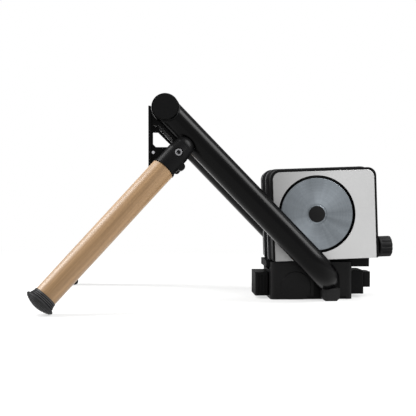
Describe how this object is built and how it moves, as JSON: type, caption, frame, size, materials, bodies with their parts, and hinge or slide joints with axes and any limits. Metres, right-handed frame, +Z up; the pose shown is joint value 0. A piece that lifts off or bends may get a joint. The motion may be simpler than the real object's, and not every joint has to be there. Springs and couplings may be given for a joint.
{
  "type": "roller bike trainer",
  "caption": "Wheel-on bicycle trainer: a bent tube frame with axle clamps, splayed folding wooden legs and a tilting unit whose flywheel roller meets the rear tyre.",
  "frame": {"origin": "centre of the bounding box on the ground", "axes": "+X along the length towards the resistance unit (the rear of the bicycle is over it and the bicycle faces -X), +Y towards the far side with the clamp lever, +Z up"},
  "size_m": [0.7012, 0.5292, 0.419],
  "materials": {
    "frame_black": "satin black powder coat",
    "lever_black": "satin",
    "textured_plastic": "fine texture",
    "cup_steel": "turned",
    "fastener_steel": "zinc plated",
    "spring_steel": "drawn",
    "socket_black": "black anodised, satin",
    "wood": "clear lacquer",
    "rubber": "matt",
    "base_plastic": "moulded",
    "post_steel": "satin",
    "nut_brass": "turned",
    "chassis_black": "satin",
    "plate_aluminium": "milled",
    "shell_plastic": "fine texture",
    "silver_face": "bead blasted",
    "roller_steel": "turned",
    "flywheel_steel": "spun",
    "hub_grey": "satin",
    "rotor_aluminium": "turned",
    "magnet_grey": "satin",
    "board": "solder mask"
  },
  "bodies": {
    "frame": {"frame_tube": "frame_black", "left_clamp_housing": "frame_black", "right_clamp_housing": "frame_black", "cup_key_screws": "fastener_steel", "lever_clevis": "frame_black", "lever_pin": "fastener_steel", "return_spring": "spring_steel", "left_leg_bracket": "frame_black", "right_leg_bracket": "frame_black", "bracket_rivets": "fastener_steel", "frame_pads": "rubber", "left_hinge_bolt": "fastener_steel", "right_hinge_bolt": "fastener_steel", "base_housing": "base_plastic", "crossbar_saddle": "base_plastic", "saddle_screws": "fastener_steel", "front_end_block": "base_plastic", "rear_end_block": "base_plastic", "rear_end_cap": "base_plastic", "unit_pivot_pin": "fastener_steel", "tension_post": "post_steel"},
    "left_knob": {"left_adjuster_knob": "textured_plastic"},
    "left_cup": {"left_axle_cup": "cup_steel"},
    "lever": {"clamp_lever": "lever_black"},
    "right_cup": {"right_axle_cup": "cup_steel"},
    "left_leg": {"left_leg_socket": "socket_black", "left_wooden_leg": "wood", "left_rubber_foot": "rubber", "left_stop_pin": "fastener_steel"},
    "right_leg": {"right_leg_socket": "socket_black", "right_wooden_leg": "wood", "right_rubber_foot": "rubber", "right_stop_pin": "fastener_steel"},
    "unit": {"unit_chassis": "chassis_black", "near_bearing_plate": "plate_aluminium", "far_bearing_plate": "plate_aluminium", "near_shell": "shell_plastic", "silver_face": "silver_face", "far_shell": "shell_plastic", "rear_bridge": "chassis_black", "shaft_bearings": "fastener_steel", "magnet_carrier": "magnet_grey", "circuit_board": "board", "power_inlet": "shell_plastic", "shell_screws": "fastener_steel"},
    "rotor": {"roller_shaft": "fastener_steel", "roller": "roller_steel", "flywheel": "flywheel_steel", "hub_cap": "hub_grey", "brake_rotor": "rotor_aluminium"},
    "tension": {"tension_knob": "textured_plastic", "tension_screw": "fastener_steel"},
    "barrel_nut": {"tension_nut": "nut_brass"}
  },
  "joints": [
    {"name": "left_leg_fold", "type": "hinge", "parent": "frame", "child": "left_leg", "pos_m": [-0.0911, -0.1348, 0.2796], "axis": [0.1885, -0.9603, 0.2057], "range_deg": [0, 86]},
    {"name": "right_leg_fold", "type": "hinge", "parent": "frame", "child": "right_leg", "pos_m": [-0.0911, 0.1348, 0.2796], "axis": [-0.1885, -0.9603, -0.2057], "range_deg": [0, 86]},
    {"name": "left_knob_turn", "type": "hinge", "parent": "frame", "child": "left_knob", "pos_m": [-0.111, -0.13, 0.369], "axis": [0, -1, 0], "range_deg": [-720, 720]},
    {"name": "left_cup_slide", "type": "slide", "parent": "frame", "child": "left_cup", "axis": [0, 1, 0], "range_m": [-0.00601, 0.00601]},
    {"name": "lever_open", "type": "hinge", "parent": "frame", "child": "lever", "pos_m": [-0.111, 0.1513, 0.369], "axis": [-1, 0, 0], "range_deg": [0, 90]},
    {"name": "right_cup_slide", "type": "slide", "parent": "frame", "child": "right_cup", "axis": [0, 1, 0], "range_m": [0, 0.00805]},
    {"name": "unit_tilt", "type": "hinge", "parent": "frame", "child": "unit", "pos_m": [0.145, 0, 0.026], "axis": [0, 1, 0], "range_deg": [-3, 2]},
    {"name": "tension_turn", "type": "hinge", "parent": "unit", "child": "tension", "pos_m": [0.33251, 0, 0.10059], "axis": [0.9994, 0, 0.0349], "range_deg": [-430, 288]},
    {"name": "barrel_nut_turn", "type": "hinge", "parent": "frame", "child": "barrel_nut", "pos_m": [0.14263, 0, 0.09396], "axis": [0, 1, 0], "range_deg": [-3.01, 2.01]},
    {"name": "roller_spin", "type": "hinge", "parent": "unit", "child": "rotor", "pos_m": [0.18325, 0, 0.16842], "axis": [0, 1, 0], "continuous": true}
  ],
  "couplings": [
    {"joint": "left_cup_slide", "follows": "left_knob_turn", "m_per_rad": 0.00047746},
    {"joint": "right_cup_slide", "follows": "lever_open", "m_per_rad": 0.005093},
    {"joint": "tension_turn", "follows": "unit_tilt", "ratio": 142.42},
    {"joint": "barrel_nut_turn", "follows": "unit_tilt", "ratio": 1}
  ]
}
